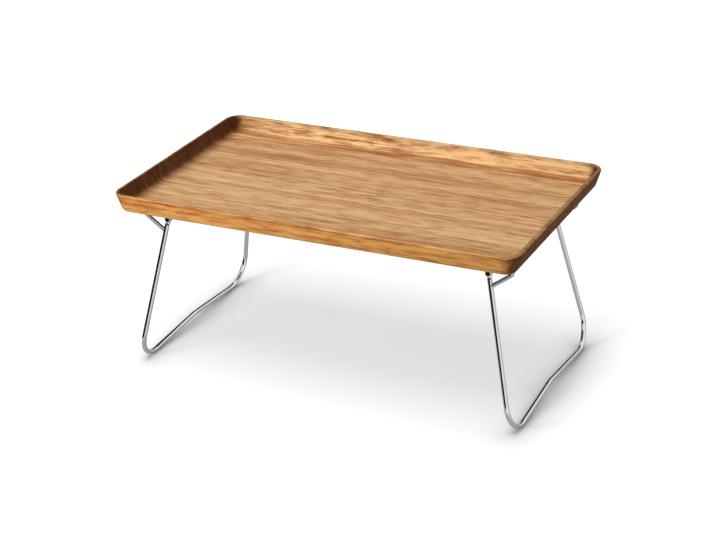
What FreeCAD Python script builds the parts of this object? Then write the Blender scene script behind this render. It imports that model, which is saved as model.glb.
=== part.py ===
import FreeCAD
import Part
import Sketcher
import math
import os

# A folding bed tray: a shallow oak tray, glued up from staves and milled to shape, standing on
# two bent chromed wire legs that fold flat under it.
#
# Millimetres. X runs along the tray and +X is its right-hand end. -Y is the front. The feet
# stand on Z = 0 and the origin is under the middle of the tray.
#
# Each leg is one wire in a leaning plane: two uprights and a foot bar whose middle is arched.
# An upright ends in a flattened eye that turns on a rivet between the two ears of a bracket.
# A short stop rod, welded to its own plate, leans down from the tray and holds the upright
# from outside, so the splayed leg can't spread any further.

DIMENSIONS = (
    ("tray_length", 600.0, "tray, end to end at the rim"),
    ("tray_width", 350.0, "tray, front to back at the rim"),
    ("rim_height", 270.0, "floor to the top of the rim"),
    ("tray_height", 28.0, "underside to the top of the rim"),
    ("outer_taper", 9.0, "how far the outer wall leans in by the underside"),
    ("inner_taper", 6.5, "how far the inner wall leans in by the tray's floor"),
    ("rim_thickness", 6.5, "wall at the rim"),
    ("floor_thickness", 8.0, "the tray's floor"),
    ("corner_radius", 24.0, "rim outline, seen from above"),
    ("cove_radius", 8.0, "hollow between the inner wall and the floor"),
    ("rim_rounding", 2.2, "both edges of the rim"),
    ("base_rounding", 7.0, "edge between the outer wall and the underside"),
    ("seam_1", -138.0, "glue seam between staves 1 and 2, from the middle"),
    ("seam_2", -104.0, "seam between staves 2 and 3"),
    ("seam_3", -66.0, "seam between staves 3 and 4"),
    ("seam_4", -33.0, "seam between staves 4 and 5"),
    ("seam_5", 9.0, "seam between staves 5 and 6"),
    ("seam_6", 52.0, "seam between staves 6 and 7"),
    ("seam_7", 97.0, "seam between staves 7 and 8"),
    ("seam_8", 139.0, "seam between staves 8 and 9"),
    ("wire_diameter", 7.0, "leg wire"),
    ("pivot_inset", 59.0, "hinge axis in from the end of the rim"),
    ("pivot_drop", 22.0, "hinge axis below the underside"),
    ("pivot_spread", 239.7, "between the two eyes of a leg"),
    ("leg_lean", 11.76, "degrees, leg plane out from upright when open"),
    ("upright_splay", 9.57, "degrees, uprights apart towards the floor, in the leg plane"),
    ("foot_bend_radius", 37.0, "wire centre line, upright to foot bar"),
    ("bar_rise", 8.2, "arch of the foot bar, in the leg plane"),
    ("bar_kink_radius", 45.0, "wire centre line, middle of the foot bar"),
    ("eye_radius", 4.0, "flattened eye"),
    ("eye_thickness", 3.5, "flattened eye and its tongue"),
    ("tongue_radius", 3.2, "half the width of the tongue"),
    ("tongue_length", 5.4, "hinge axis to the middle of the tongue's round end"),
    ("neck_start", 5.4, "hinge axis to where the wire starts to fill out"),
    ("neck_end", 8.4, "hinge axis to where the wire is round"),
    ("neck_inset", 0.2, "the filled-out wire's thin end inside the tongue, each side"),
    ("pin_diameter", 4.0, "hinge rivet"),
    ("turning_clearance", 0.15, "eye round the rivet, all round"),
    ("side_clearance", 0.3, "eye between the ears, each side"),
    ("fixed_clearance", 0.05, "rivet in the ears and screws in the wood, all round"),
    ("rivet_head_radius", 3.2, "both heads"),
    ("rivet_head_height", 1.2, "both heads"),
    ("rivet_head_rounding", 0.9, "both heads"),
    ("sheet_thickness", 1.5, "bracket"),
    ("ear_radius", 4.2, "round lower end of an ear"),
    ("ear_top_width", 12.0, "ear where it meets the bracket's base"),
    ("bracket_screw_spacing", 27.0, "two screws, along the tray"),
    ("bracket_pad_radius", 5.5, "round ends of the base"),
    ("stop_diameter", 6.0, "stop rod"),
    ("stop_slope", 36.0, "degrees, stop rod down from level"),
    ("stop_seat_distance", 18.2, "hinge axis to where the rod bears, along the leg"),
    ("stop_clearance", 0.3, "upright in the rod's hollow end"),
    ("stop_root_offset", 34.0, "rod's upper end outward of the hinge axis"),
    ("stop_bend_radius", 6.5, "rod centre line"),
    ("stop_plate_length", 35.0, "front to back"),
    ("stop_plate_radius", 6.5, "round ends, half the plate's width"),
    ("stop_plate_thickness", 2.0, "plate"),
    ("stop_screw_spacing", 21.0, "two screws, front to back"),
    ("screw_diameter", 3.0, "shank"),
    ("screw_length", 7.5, "under the head"),
    ("screw_tip_length", 2.0, "pointed end"),
    ("screw_tip_radius", 0.4, "blunt point"),
    ("screw_head_radius", 3.0, "domed head"),
    ("screw_head_height", 1.9, "domed head"),
    ("screw_head_rounding", 1.5, "domed head"),
    ("screw_recess_width", 0.9, "one arm of the cross recess"),
    ("screw_recess_length", 3.2, "one arm of the cross recess"),
    ("screw_recess_depth", 1.1, "cross recess"),
    ("screw_hole_clearance", 0.2, "screw in the metal, all round"),
    ("pilot_extra_depth", 0.3, "pilot hole past the screw's point"),
)

# Sizes that follow from the ones above. A formula names cells of either sheet.
DERIVED = (
    ("underside_z", "=Dimensions.rim_height - Dimensions.tray_height"),
    ("well_depth", "=Dimensions.tray_height - Dimensions.floor_thickness"),
    ("well_length", "=Dimensions.tray_length - 2 * Dimensions.rim_thickness"),
    ("well_width", "=Dimensions.tray_width - 2 * Dimensions.rim_thickness"),
    ("well_corner", "=Dimensions.corner_radius - Dimensions.rim_thickness"),
    ("outer_lean", "=atan(Dimensions.outer_taper / Dimensions.tray_height)"),
    ("inner_lean", "=atan(Dimensions.inner_taper / well_depth)"),
    ("wire_radius", "=Dimensions.wire_diameter / 2"),
    ("upright_angle", "=Dimensions.upright_splay - 90"),
    ("pivot_x", "=Dimensions.tray_length / 2 - Dimensions.pivot_inset"),
    ("pivot_y", "=Dimensions.pivot_spread / 2"),
    ("pivot_z", "=underside_z - Dimensions.pivot_drop"),
    ("leg_reach", "=(pivot_z - wire_radius) / cos(Dimensions.leg_lean)"),
    ("bend_centre_drop", "=leg_reach - Dimensions.foot_bend_radius"),
    ("kink_centre_drop", "=leg_reach - Dimensions.bar_rise + Dimensions.bar_kink_radius"),
    ("neck_y", "=pivot_y + Dimensions.neck_end * tan(Dimensions.upright_splay)"),
    ("neck_oval_width", "=2 * Dimensions.tongue_radius - 2 * Dimensions.neck_inset"),
    ("neck_oval_depth", "=Dimensions.eye_thickness - 2 * Dimensions.neck_inset"),
    ("eye_hole_radius", "=Dimensions.pin_diameter / 2 + Dimensions.turning_clearance"),
    ("ears_gap", "=Dimensions.eye_thickness + 2 * Dimensions.side_clearance"),
    ("ears_half_gap", "=ears_gap / 2"),
    ("ear_cut_drop", "=2 * Dimensions.ear_radius"),
    ("ear_cut_width", "=2 * Dimensions.ear_top_width"),
    ("ears_width", "=ears_gap + 2 * Dimensions.sheet_thickness"),
    ("ears_half_width", "=ears_width / 2"),
    ("ear_top_half", "=Dimensions.ear_top_width / 2"),
    ("ear_hole_radius", "=Dimensions.pin_diameter / 2 + Dimensions.fixed_clearance"),
    ("ear_height", "=Dimensions.pivot_drop - Dimensions.sheet_thickness"),
    ("bracket_screw_x", "=Dimensions.bracket_screw_spacing / 2"),
    ("pin_radius", "=Dimensions.pin_diameter / 2"),
    ("rivet_end", "=ears_half_width + Dimensions.rivet_head_height"),
    ("stop_radius", "=Dimensions.stop_diameter / 2"),
    ("seat_x", "=Dimensions.stop_seat_distance * sin(Dimensions.leg_lean)"),
    ("seat_drop", "=Dimensions.stop_seat_distance * cos(Dimensions.leg_lean)"),
    ("seat_y", "=pivot_y + Dimensions.stop_seat_distance * tan(Dimensions.upright_splay)"),
    ("stop_run", "=Dimensions.stop_root_offset - seat_x"),
    ("stop_corner_drop", "=stop_tip_drop - stop_run * tan(Dimensions.stop_slope)"),
    ("stop_tip_drop", "=Dimensions.pivot_drop + seat_drop"),
    ("stop_bore", "=wire_radius + Dimensions.stop_clearance"),
    ("stop_screw_y", "=Dimensions.stop_screw_spacing / 2"),
    ("stop_pad_y", "=Dimensions.stop_plate_length / 2 - Dimensions.stop_plate_radius"),
    ("screw_radius", "=Dimensions.screw_diameter / 2"),
    ("recess_half_width", "=Dimensions.screw_recess_width / 2"),
    ("recess_half_length", "=Dimensions.screw_recess_length / 2"),
    ("bracket_screw_z", "=underside_z - Dimensions.sheet_thickness"),
    ("stop_screw_z", "=underside_z - Dimensions.stop_plate_thickness"),
    ("screw_cone_start", "=Dimensions.screw_length - Dimensions.screw_tip_length"),
    ("plate_hole_radius", "=screw_radius + Dimensions.screw_hole_clearance"),
    ("pilot_radius", "=screw_radius + Dimensions.fixed_clearance"),
    ("pilot_depth", "=Dimensions.screw_length - Dimensions.sheet_thickness"
                    " + Dimensions.pilot_extra_depth"),
    ("inner_bracket_screw_x", "=pivot_x - bracket_screw_x"),
    ("outer_bracket_screw_x", "=pivot_x + bracket_screw_x"),
    ("stop_screw_x", "=pivot_x + Dimensions.stop_root_offset"),
    ("inner_stop_screw_y", "=seat_y - stop_screw_y"),
    ("outer_stop_screw_y", "=seat_y + stop_screw_y"),
)

SEAM_COUNT = 8
LEGS = (("left", -1), ("right", 1))
SIDES = (("front", -1), ("back", 1))
CORNERS = [(leg_name + "_" + side_name, sx, sy) for leg_name, sx in LEGS for side_name, sy in SIDES]
X_AXIS = FreeCAD.Vector(1, 0, 0)
Y_AXIS = FreeCAD.Vector(0, 1, 0)
Z_AXIS = FreeCAD.Vector(0, 0, 1)
ORIGIN_POINT = (-1, 1)
VERTICAL_AXIS, HORIZONTAL_AXIS = -2, -1
START, END, CENTRE = 1, 2, 3
QUARTER_TURN = math.pi / 2
HALF_TURN = 180.0
FULL_TURN = 360.0
TOLERANCE = 0.001

doc = FreeCAD.newDocument("bed_tray")


# ---------------------------------------------------------------- sizes

def make_sheet(name, rows):
    """One row for each cell: its note, and its content under an alias."""
    sheet = doc.addObject("Spreadsheet::Sheet", name)
    for number, (alias, content, note) in enumerate(rows, start=1):
        sheet.set("A%d" % number, note)
        sheet.set("B%d" % number, content)
        sheet.setAlias("B%d" % number, alias)
    doc.recompute()
    return sheet


driving = make_sheet("Dimensions", [(name, str(size), note) for name, size, note in DIMENSIONS])
derived = make_sheet("Derived", [(name, formula, "") for name, formula in DERIVED])
DERIVED_NAMES = [name for name, formula in DERIVED]


def size(name):
    """The number that a size has now."""
    sheet = derived if name in DERIVED_NAMES else driving
    return float(sheet.get(name))


def cell(name):
    """The size as it is written in an expression."""
    return ("Derived." if name in DERIVED_NAMES else "Dimensions.") + name


def bind(item, prop, name, sign=1):
    """Make a property of an object follow a size."""
    item.setExpression(prop, cell(name) if sign > 0 else "-" + cell(name))


# ---------------------------------------------------------------- sketches and features

def new_body(name):
    return doc.addObject("PartDesign::Body", name)


def origin_item(body, role):
    """One of the body's own origin planes or axes."""
    return [item for item in body.Origin.OriginFeatures if item.Role == role][0]


def new_sketch(body, name, role):
    """An empty sketch on one of the body's own origin planes."""
    sketch = body.newObject("Sketcher::SketchObject", name)
    sketch.AttachmentSupport = (origin_item(body, role), [""])
    sketch.MapMode = "FlatFace"
    return sketch


def dimension(sketch, label, kind, where, name):
    """A named dimension of the sketch that follows a size."""
    index = sketch.addConstraint(Sketcher.Constraint(kind, *where, size(name)))
    sketch.renameConstraint(index, label)
    bind(sketch, "Constraints." + label, name)


def place_point(sketch, label, point, x, y):
    """Hold a point at x and y. Each is None, for the axis, or (sign, size name)."""
    for axis_kind, axis_line, place, mark in (("DistanceX", VERTICAL_AXIS, x, "_x"),
                                              ("DistanceY", HORIZONTAL_AXIS, y, "_y")):
        if place is None:
            sketch.addConstraint(Sketcher.Constraint("PointOnObject", *point, axis_line))
        elif place[0] > 0:
            dimension(sketch, label + mark, axis_kind, ORIGIN_POINT + point, place[1])
        else:
            dimension(sketch, label + mark, axis_kind, point + ORIGIN_POINT, place[1])


def coordinate(place):
    return 0.0 if place is None else place[0] * size(place[1])


def add_circle(sketch, label, x, y, radius):
    """A circle whose middle is placed as place_point does."""
    middle = FreeCAD.Vector(coordinate(x), coordinate(y), 0)
    circle = sketch.addGeometry(Part.Circle(middle, Z_AXIS, size(radius)))
    if x is None and y is None:
        sketch.addConstraint(Sketcher.Constraint("Coincident", circle, CENTRE, *ORIGIN_POINT))
    else:
        place_point(sketch, label, (circle, CENTRE), x, y)
    dimension(sketch, label + "_radius", "Radius", (circle,), radius)
    return circle


def add_outline(sketch, corners):
    """A closed outline of straight edges through corners that are placed as place_point does."""
    points = [FreeCAD.Vector(coordinate(x), coordinate(y), 0) for x, y in corners]
    edges = []
    for start, end in zip(points, points[1:] + points[:1]):
        edges.append(sketch.addGeometry(Part.LineSegment(start, end)))
    for number, edge in enumerate(edges):
        follower = edges[(number + 1) % len(edges)]
        sketch.addConstraint(Sketcher.Constraint("Coincident", edge, END, follower, START))
        x, y = corners[number]
        if x is None and y is None:
            sketch.addConstraint(Sketcher.Constraint("Coincident", edge, START, *ORIGIN_POINT))
        else:
            place_point(sketch, "corner%d" % number, (edge, START), x, y)


def add_rounded_rectangle(sketch, length, width, corner):
    """A rounded rectangle about the sketch's origin."""
    half_x = size(length) / 2
    half_y = size(width) / 2
    radius = size(corner)
    arcs = []
    for turn, (sx, sy) in enumerate(((1, 1), (-1, 1), (-1, -1), (1, -1))):
        middle = FreeCAD.Vector(sx * (half_x - radius), sy * (half_y - radius), 0)
        circle = Part.Circle(middle, Z_AXIS, radius)
        start = turn * QUARTER_TURN
        arcs.append(sketch.addGeometry(Part.ArcOfCircle(circle, start, start + QUARTER_TURN)))
    lines = []
    for number in range(4):
        start = sketch.getPoint(arcs[number], END)
        end = sketch.getPoint(arcs[(number + 1) % 4], START)
        lines.append(sketch.addGeometry(Part.LineSegment(start, end)))
    for number, line in enumerate(lines):
        direction = "Vertical" if number % 2 else "Horizontal"
        sketch.addConstraint(Sketcher.Constraint("Tangent", arcs[number], END, line, START))
        sketch.addConstraint(Sketcher.Constraint("Tangent", line, END, arcs[(number + 1) % 4], START))
        sketch.addConstraint(Sketcher.Constraint(direction, line))
    for arc in arcs[1:]:
        sketch.addConstraint(Sketcher.Constraint("Equal", arcs[0], arc))
    sketch.addConstraint(Sketcher.Constraint("Symmetric", arcs[0], CENTRE, arcs[2], CENTRE,
                                             *ORIGIN_POINT))
    dimension(sketch, "corner_radius", "Radius", (arcs[0],), corner)
    dimension(sketch, "length", "DistanceX", (lines[1], START, lines[3], START), length)
    dimension(sketch, "width", "DistanceY", (lines[2], START, lines[0], START), width)


def set_extent(feature, sketch, length, symmetric, reverse, lean):
    """How far a pad or pocket goes, and how much its walls lean in on the way."""
    feature.Profile = sketch
    feature.SideType = "Symmetric" if symmetric else "One side"
    feature.Reversed = reverse
    bind(feature, "Length", length)
    if lean is not None:
        bind(feature, "TaperAngle", lean, sign=-1)
    doc.recompute()


def add_pad(body, name, sketch, length, symmetric=False, reverse=False, lean=None):
    pad = body.newObject("PartDesign::Pad", name)
    set_extent(pad, sketch, length, symmetric, reverse, lean)
    return pad


def add_pocket(body, name, sketch, length, symmetric=False, reverse=False, lean=None):
    """A pocket that must take some material away."""
    before = body.Shape.Volume
    pocket = body.newObject("PartDesign::Pocket", name)
    set_extent(pocket, sketch, length, symmetric, reverse, lean)
    if body.Shape.Volume >= before:
        raise RuntimeError(name + " cuts nothing")
    return pocket


def add_fillet(body, name, feature, keep, radius):
    """Round the edges of a feature that the test keep picks."""
    edges = ["Edge%d" % (number + 1) for number, edge in enumerate(feature.Shape.Edges)
             if keep(edge)]
    fillet = body.newObject("PartDesign::Fillet", name)
    fillet.Base = (feature, edges)
    bind(fillet, "Radius", radius)
    doc.recompute()
    return fillet


def level_at(height):
    """A test for edges that lie level at one height of their body."""
    def keep(edge):
        box = edge.BoundBox
        return abs(box.ZMin - height) < TOLERANCE and abs(box.ZMax - height) < TOLERANCE
    return keep


# ---------------------------------------------------------------- the tray

def make_tray_blank():
    """The whole glued-up and milled tray, with its pilot holes; its rim lies at the body's Z = 0."""
    body = new_body("TrayBlank")
    bind(body, ".Placement.Base.z", "rim_height")
    rim = new_sketch(body, "RimOutline", "XY_Plane")
    add_rounded_rectangle(rim, "tray_length", "tray_width", "corner_radius")
    add_pad(body, "Slab", rim, "tray_height", reverse=True, lean="outer_lean")
    mouth = new_sketch(body, "WellOutline", "XY_Plane")
    add_rounded_rectangle(mouth, "well_length", "well_width", "well_corner")
    well = add_pocket(body, "Well", mouth, "well_depth", lean="inner_lean")
    cove = add_fillet(body, "Cove", well, level_at(-size("well_depth")), "cove_radius")
    base = add_fillet(body, "BaseRounding", cove, level_at(-size("tray_height")), "base_rounding")
    add_fillet(body, "RimRounding", base, level_at(0.0), "rim_rounding")

    pilots = new_sketch(body, "PilotPlaces", "XY_Plane")
    bind(pilots, ".AttachmentOffset.Base.z", "tray_height", sign=-1)
    for corner, sx, sy in CORNERS:
        for place in ("inner_bracket_screw_x", "outer_bracket_screw_x"):
            add_circle(pilots, corner + "_" + place, (sx, place), (sy, "pivot_y"), "pilot_radius")
        for place in ("inner_stop_screw_y", "outer_stop_screw_y"):
            add_circle(pilots, corner + "_" + place, (sx, "stop_screw_x"), (sy, place), "pilot_radius")
    add_pocket(body, "PilotHoles", pilots, "pilot_depth", reverse=True)
    return body


def make_staves(blank):
    """Cut the blank along its glue seams. Each stave keeps its share of floor and wall."""
    staves = []
    edges = ["-Dimensions.tray_width / 2"]
    edges += ["Dimensions.seam_%d" % number for number in range(1, SEAM_COUNT + 1)]
    edges += ["Dimensions.tray_width / 2"]
    for number, (front, back) in enumerate(zip(edges, edges[1:]), start=1):
        band = doc.addObject("Part::Box", "Band%d" % number)
        band.setExpression("Length", "Dimensions.tray_length")
        band.setExpression("Width", "(%s) - (%s)" % (back, front))
        band.setExpression("Height", "Dimensions.tray_height")
        band.setExpression(".Placement.Base.x", "-Dimensions.tray_length / 2")
        band.setExpression(".Placement.Base.y", front)
        band.setExpression(".Placement.Base.z", "Derived.underside_z")
        stave = doc.addObject("Part::Common", "Stave%d" % number)
        stave.Base = blank
        stave.Tool = band
        stave.Label = "tray_stave_%d" % number
        staves.append(stave)
    return staves


# ---------------------------------------------------------------- a leg

def make_leg_path(body):
    """Centre line of a leg, from one neck down, along the arched foot bar and up to the other.

    The sketch is worked out first as it will be solved: the upright's direction and the two
    radii fix where the foot bend ends, and the bar is the line that touches both arcs.
    """
    splay = math.radians(size("upright_splay"))
    bend = size("foot_bend_radius")
    kink = size("bar_kink_radius")
    neck = FreeCAD.Vector(size("neck_y"), -size("neck_end"), 0)
    down = FreeCAD.Vector(math.sin(splay), -math.cos(splay), 0)
    inward = FreeCAD.Vector(-math.cos(splay), -math.sin(splay), 0)
    run = (size("bend_centre_drop") + neck.y + bend * inward.y) / -down.y
    ankle = neck + down * run
    bend_centre = ankle + inward * bend
    kink_centre = FreeCAD.Vector(0, -size("kink_centre_drop"), 0)
    gap = bend_centre - kink_centre
    slope = math.atan2(gap.y, gap.x) - math.asin((bend + kink) / gap.Length)
    upward = FreeCAD.Vector(-math.sin(slope), math.cos(slope), 0)
    toe = bend_centre - upward * bend
    crest = kink_centre + upward * kink

    def across(point):
        return FreeCAD.Vector(-point.x, point.y, 0)

    def arc(middle, radius, start, end):
        return path.addGeometry(Part.ArcOfCircle(Part.Circle(middle, Z_AXIS, radius), start, end))

    def line(start, end):
        return path.addGeometry(Part.LineSegment(start, end))

    path = new_sketch(body, "CentreLine", "YZ_Plane")
    upright = line(neck, ankle)
    foot = arc(bend_centre, bend, slope - QUARTER_TURN, splay)
    bar = line(toe, crest)
    crown = arc(kink_centre, kink, slope + QUARTER_TURN, QUARTER_TURN - slope)
    far_bar = line(across(crest), across(toe))
    far_foot = arc(across(bend_centre), bend, math.pi - splay, 3 * QUARTER_TURN - slope)
    far_upright = line(across(ankle), across(neck))
    for joint in ((upright, END, foot, END), (foot, START, bar, START), (bar, END, crown, START),
                  (crown, END, far_bar, START), (far_bar, END, far_foot, END),
                  (far_foot, START, far_upright, START)):
        path.addConstraint(Sketcher.Constraint("Tangent", *joint))
    path.addConstraint(Sketcher.Constraint("Symmetric", foot, CENTRE, far_foot, CENTRE,
                                           VERTICAL_AXIS))
    path.addConstraint(Sketcher.Constraint("Symmetric", upright, START, far_upright, END,
                                           VERTICAL_AXIS))
    path.addConstraint(Sketcher.Constraint("Equal", foot, far_foot))
    place_point(path, "kink", (crown, CENTRE), None, (-1, "kink_centre_drop"))
    dimension(path, "kink", "Radius", (crown,), "bar_kink_radius")
    dimension(path, "foot_bend", "Radius", (foot,), "foot_bend_radius")
    dimension(path, "bend_drop", "DistanceY", (foot, CENTRE) + ORIGIN_POINT, "bend_centre_drop")
    place_point(path, "neck", (upright, START), (1, "neck_y"), (-1, "neck_end"))
    angle = path.addConstraint(Sketcher.Constraint("Angle", upright, splay - QUARTER_TURN))
    path.renameConstraint(angle, "upright_angle")
    bind(path, "Constraints.upright_angle", "upright_angle")
    return path


def add_neck_sections(body, label, side):
    """The round end of the wire, square to it, and the flat oval that the eye's tongue covers."""
    round_end = new_sketch(body, label + "NeckRound", "XY_Plane")
    add_circle(round_end, "neck", None, None, "wire_radius")
    tilt = FreeCAD.Rotation(X_AXIS, side * size("upright_splay"))
    round_end.AttachmentOffset = FreeCAD.Placement(FreeCAD.Vector(), tilt)
    bind(round_end, ".AttachmentOffset.Base.y", "neck_y", sign=side)
    bind(round_end, ".AttachmentOffset.Base.z", "neck_end", sign=-1)
    bind(round_end, ".AttachmentOffset.Rotation.Angle", "upright_splay", sign=side)
    flat_end = new_sketch(body, label + "NeckFlat", "XY_Plane")
    add_oval(flat_end, "neck_oval_width", "neck_oval_depth")
    bind(flat_end, ".AttachmentOffset.Base.y", "pivot_y", sign=side)
    bind(flat_end, ".AttachmentOffset.Base.z", "neck_start", sign=-1)
    return round_end, flat_end


def make_leg(leg, side):
    """One bent wire. The body's origin lies on the hinge axis and its Z runs up the leg."""
    body = new_body("Leg_" + leg)
    body.Label = "leg_frame_" + leg
    body.Placement = FreeCAD.Placement(FreeCAD.Vector(), FreeCAD.Rotation(Y_AXIS, size("leg_lean")))
    bind(body, ".Placement.Base.x", "pivot_x", sign=side)
    bind(body, ".Placement.Base.z", "pivot_z")
    bind(body, ".Placement.Rotation.Angle", "leg_lean", sign=-side)

    path = make_leg_path(body)
    sections = {end: add_neck_sections(body, side_name, end) for side_name, end in SIDES}
    wire = body.newObject("PartDesign::AdditivePipe", "Wire")
    wire.Profile = sections[1][0]
    wire.Spine = (path, [])
    doc.recompute()
    for label, end in SIDES:
        round_end, flat_end = sections[end]
        neck = body.newObject("PartDesign::AdditiveLoft", label + "Neck")
        neck.Profile = round_end
        neck.Sections = [flat_end]
        neck.Ruled = True
        eye = new_sketch(body, label + "EyeOutline", "XZ_Plane")
        bind(eye, ".AttachmentOffset.Base.z", "pivot_y", sign=-end)
        add_eye_outline(eye)
        add_pad(body, label + "Eye", eye, "eye_thickness", symmetric=True)
        bore = new_sketch(body, label + "EyeBore", "XZ_Plane")
        bind(bore, ".AttachmentOffset.Base.z", "pivot_y", sign=-end)
        add_circle(bore, "bore", None, None, "eye_hole_radius")
        add_pocket(body, label + "EyeHole", bore, "ears_gap", symmetric=True)
    return body


def add_oval(sketch, width, depth):
    """An ellipse about the sketch's origin, longer along its X."""
    oval = sketch.addGeometry(Part.Ellipse(FreeCAD.Vector(), size(width) / 2, size(depth) / 2))
    sketch.exposeInternalGeometry(oval)
    long_axis = oval + 1
    short_axis = oval + 2
    sketch.addConstraint(Sketcher.Constraint("Coincident", oval, CENTRE, *ORIGIN_POINT))
    sketch.addConstraint(Sketcher.Constraint("Horizontal", long_axis))
    dimension(sketch, "width", "Distance", (long_axis,), width)
    dimension(sketch, "depth", "Distance", (short_axis,), depth)


def add_eye_outline(sketch):
    """A round eye about the origin that narrows to the round end of its tongue."""
    eye = size("eye_radius")
    tongue = size("tongue_radius")
    low = FreeCAD.Vector(0, -size("tongue_length"), 0)
    tilt = math.asin((eye - tongue) / size("tongue_length"))
    side = FreeCAD.Vector(math.cos(tilt), -math.sin(tilt), 0)
    upper = sketch.addGeometry(Part.ArcOfCircle(Part.Circle(FreeCAD.Vector(), Z_AXIS, eye),
                                                -tilt, math.pi + tilt))
    lower = sketch.addGeometry(Part.ArcOfCircle(Part.Circle(low, Z_AXIS, tongue),
                                                math.pi + tilt, -tilt))
    mirrored = FreeCAD.Vector(-side.x, side.y, 0)
    left = sketch.addGeometry(Part.LineSegment(mirrored * eye, low + mirrored * tongue))
    right = sketch.addGeometry(Part.LineSegment(low + side * tongue, side * eye))
    for first, first_end, second, second_end in ((upper, END, left, START), (left, END, lower, START),
                                                 (lower, END, right, START),
                                                 (right, END, upper, START)):
        sketch.addConstraint(Sketcher.Constraint("Tangent", first, first_end, second, second_end))
    sketch.addConstraint(Sketcher.Constraint("Coincident", upper, CENTRE, *ORIGIN_POINT))
    place_point(sketch, "tongue", (lower, CENTRE), None, (-1, "tongue_length"))
    dimension(sketch, "eye", "Radius", (upper,), "eye_radius")
    dimension(sketch, "tongue_end", "Radius", (lower,), "tongue_radius")


# ---------------------------------------------------------------- hinge brackets and rivets

def add_ear_outline(sketch):
    """A round end about the origin, widening along two touching lines up to a level top."""
    radius = size("ear_radius")
    top_x = size("ear_top_half")
    top_y = size("ear_height")
    reach = math.hypot(top_x, top_y)
    touch = math.atan2(top_y, top_x) - math.acos(radius / reach)
    circle = Part.Circle(FreeCAD.Vector(), Z_AXIS, radius)
    side = FreeCAD.Vector(math.cos(touch), math.sin(touch), 0) * radius
    end = sketch.addGeometry(Part.ArcOfCircle(circle, math.pi - touch, touch))
    right = sketch.addGeometry(Part.LineSegment(side, FreeCAD.Vector(top_x, top_y, 0)))
    top = sketch.addGeometry(Part.LineSegment(FreeCAD.Vector(top_x, top_y, 0),
                                              FreeCAD.Vector(-top_x, top_y, 0)))
    left = sketch.addGeometry(Part.LineSegment(FreeCAD.Vector(-top_x, top_y, 0),
                                               FreeCAD.Vector(-side.x, side.y, 0)))
    sketch.addConstraint(Sketcher.Constraint("Tangent", end, END, right, START))
    sketch.addConstraint(Sketcher.Constraint("Coincident", right, END, top, START))
    sketch.addConstraint(Sketcher.Constraint("Coincident", top, END, left, START))
    sketch.addConstraint(Sketcher.Constraint("Tangent", left, END, end, START))
    sketch.addConstraint(Sketcher.Constraint("Coincident", end, CENTRE, *ORIGIN_POINT))
    dimension(sketch, "round_end", "Radius", (end,), "ear_radius")
    place_point(sketch, "top_right", (right, END), (1, "ear_top_half"), (1, "ear_height"))
    place_point(sketch, "top_left", (top, END), (-1, "ear_top_half"), (1, "ear_height"))


def make_bracket(corner, sx, sy):
    """A pressed bracket: a base with two screw holes, and two ears. Its origin is on the axis."""
    body = new_body("Bracket_" + corner)
    body.Label = "hinge_bracket_" + corner
    bind(body, ".Placement.Base.x", "pivot_x", sign=sx)
    bind(body, ".Placement.Base.y", "pivot_y", sign=sy)
    bind(body, ".Placement.Base.z", "pivot_z")

    ears = new_sketch(body, "EarOutline", "XZ_Plane")
    add_ear_outline(ears)
    add_pad(body, "Ears", ears, "ears_width", symmetric=True)
    strip = new_sketch(body, "BaseStrip", "XY_Plane")
    bind(strip, ".AttachmentOffset.Base.z", "ear_height")
    add_outline(strip, [((-1, "bracket_screw_x"), (-1, "ears_half_width")),
                        ((1, "bracket_screw_x"), (-1, "ears_half_width")),
                        ((1, "bracket_screw_x"), (1, "ears_half_width")),
                        ((-1, "bracket_screw_x"), (1, "ears_half_width"))])
    add_pad(body, "Strip", strip, "sheet_thickness")
    for label, side in (("Inner", -1), ("Outer", 1)):
        disc = new_sketch(body, label + "Disc", "XY_Plane")
        bind(disc, ".AttachmentOffset.Base.z", "ear_height")
        add_circle(disc, "pad", (side, "bracket_screw_x"), None, "bracket_pad_radius")
        add_pad(body, label + "Pad", disc, "sheet_thickness")
    slot = new_sketch(body, "SlotOutline", "YZ_Plane")
    add_outline(slot, [((-1, "ears_half_gap"), (-1, "ear_cut_drop")),
                       ((1, "ears_half_gap"), (-1, "ear_cut_drop")),
                       ((1, "ears_half_gap"), (1, "ear_height")),
                       ((-1, "ears_half_gap"), (1, "ear_height"))])
    add_pocket(body, "Slot", slot, "ear_cut_width", symmetric=True)
    pin = new_sketch(body, "PinHole", "XZ_Plane")
    add_circle(pin, "pin", None, None, "ear_hole_radius")
    add_pocket(body, "PinBore", pin, "ears_width", symmetric=True)
    holes = new_sketch(body, "ScrewHoles", "XY_Plane")
    bind(holes, ".AttachmentOffset.Base.z", "ear_height")
    for label, side in (("inner", -1), ("outer", 1)):
        add_circle(holes, label, (side, "bracket_screw_x"), None, "plate_hole_radius")
    add_pocket(body, "ScrewBores", holes, "sheet_thickness", reverse=True)
    return body


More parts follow.
